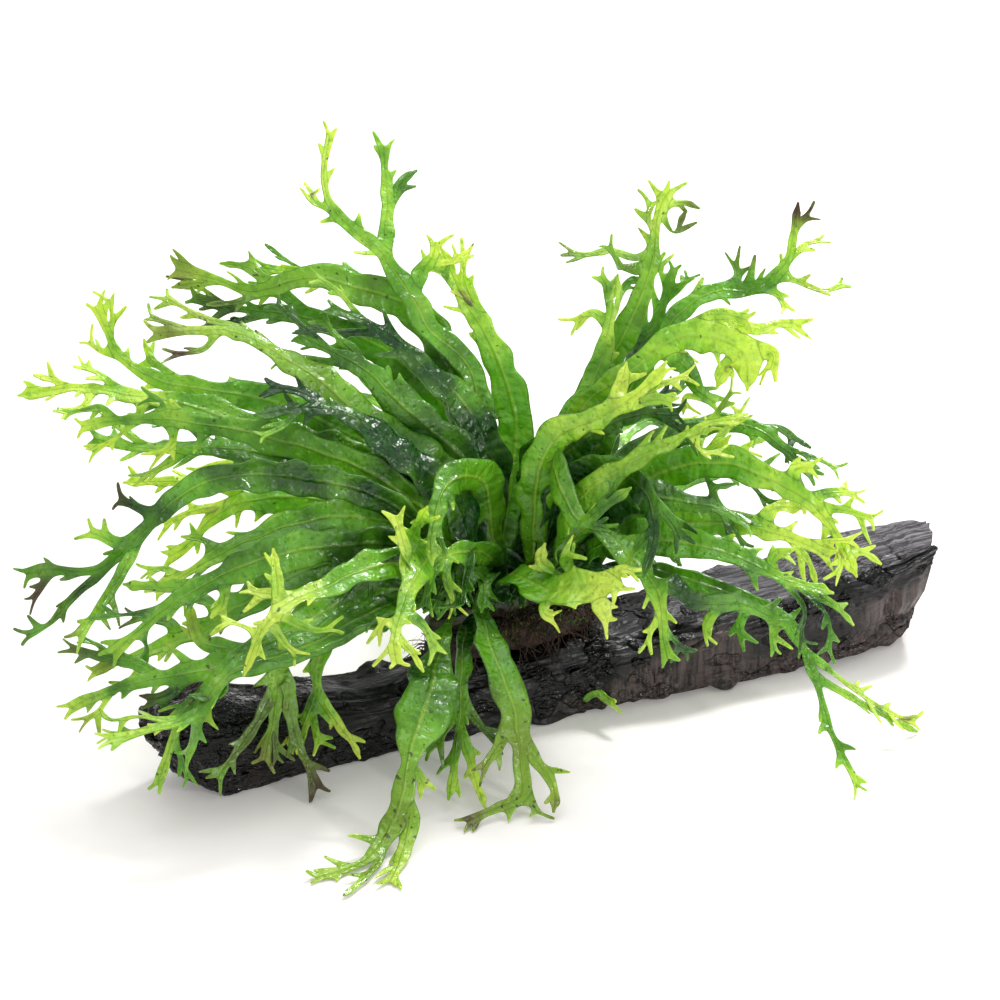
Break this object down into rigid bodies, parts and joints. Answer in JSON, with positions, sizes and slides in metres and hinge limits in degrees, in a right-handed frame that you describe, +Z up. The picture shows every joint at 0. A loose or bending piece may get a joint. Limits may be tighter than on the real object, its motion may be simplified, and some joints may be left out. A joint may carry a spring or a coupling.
{
  "type": "java fern on driftwood",
  "caption": "Lace-leaved aquarium fern whose forked fronds fan out from a creeping stem rooted on a dark, flat-bellied driftwood log",
  "frame": {"origin": "on the flat underside of the log, straight below the middle of the rhizome", "axes": "+Z up, +X along the log towards its thicker end, -Y towards the side that the front fronds hang over"},
  "size_m": [0.24, 0.1643, 0.1474],
  "materials": {
    "driftwood": "waterlogged near-black wood, wet and glinting, with grain along it and red-brown lower faces",
    "rhizome": "brown-green scaly creeping stem, damp",
    "roots": "felt of fine dark brown holdfast roots with a little green fuzz, damp",
    "leaf_dark": "thin wet living leaf, deep shaded green, glossy",
    "leaf_green": "thin wet living leaf, mid green, half see-through against light, glossy",
    "leaf_bright": "thin wet living leaf, young yellow-green, half see-through against light, glossy"
  },
  "bodies": {
    "root": {"driftwood": "driftwood", "rhizome": "rhizome", "root_mat": "roots", "floor_frond_left": "leaf_green", "floor_frond_middle": "leaf_green", "floor_frond_crest": "leaf_green", "floor_frond_right": "leaf_green", "front_curled": "leaf_green", "front_pale_arch": "leaf_green", "front_toothed": "leaf_bright", "front_short_fork": "leaf_green", "front_dark_lobed": "leaf_dark", "left_dark_cluster": "leaf_dark", "front_hanging_fork": "leaf_green", "front_hanging_narrow": "leaf_green", "left_spread": "leaf_green", "right_pale_arc": "leaf_bright", "right_tall_narrow": "leaf_green", "front_star_left": "leaf_bright", "left_arm_lower": "leaf_green", "left_arm_low_crest": "leaf_green", "left_low_bright": "leaf_bright", "left_low_fan": "leaf_green", "left_hanging_tips": "leaf_green", "front_star_middle": "leaf_bright", "right_hanging_lobes": "leaf_green", "right_low_crest": "leaf_green", "right_dark_arch": "leaf_dark", "right_dark_broad": "leaf_dark", "right_bright_lace": "leaf_bright", "right_upper_lace": "leaf_green", "right_bright_spur": "leaf_bright", "right_spotted": "leaf_bright", "right_dark_leaning": "leaf_dark", "right_dark_lace": "leaf_dark", "right_antler_tall": "leaf_green", "right_tall_dark": "leaf_green", "middle_broad_right": "leaf_green", "tall_antler_frond": "leaf_green", "top_bright_frond": "leaf_bright", "left_high_thin": "leaf_green", "left_high_broad": "leaf_green", "left_glossy_upper": "leaf_dark", "left_middle_fan": "leaf_green", "left_glossy_middle": "leaf_dark", "left_brown_tipped": "leaf_green", "left_glossy_lower": "leaf_dark", "left_upswept": "leaf_green", "left_outermost": "leaf_bright", "left_back_bright": "leaf_bright", "left_low_outer": "leaf_green", "left_top_fan": "leaf_green", "right_low_fan": "leaf_bright", "back_left_arch": "leaf_green", "back_left_low": "leaf_green", "back_middle_arch": "leaf_green", "back_right_arch": "leaf_green", "back_right_low": "leaf_green", "small_leaf_underneath": "leaf_green"}
  },
  "joints": []
}
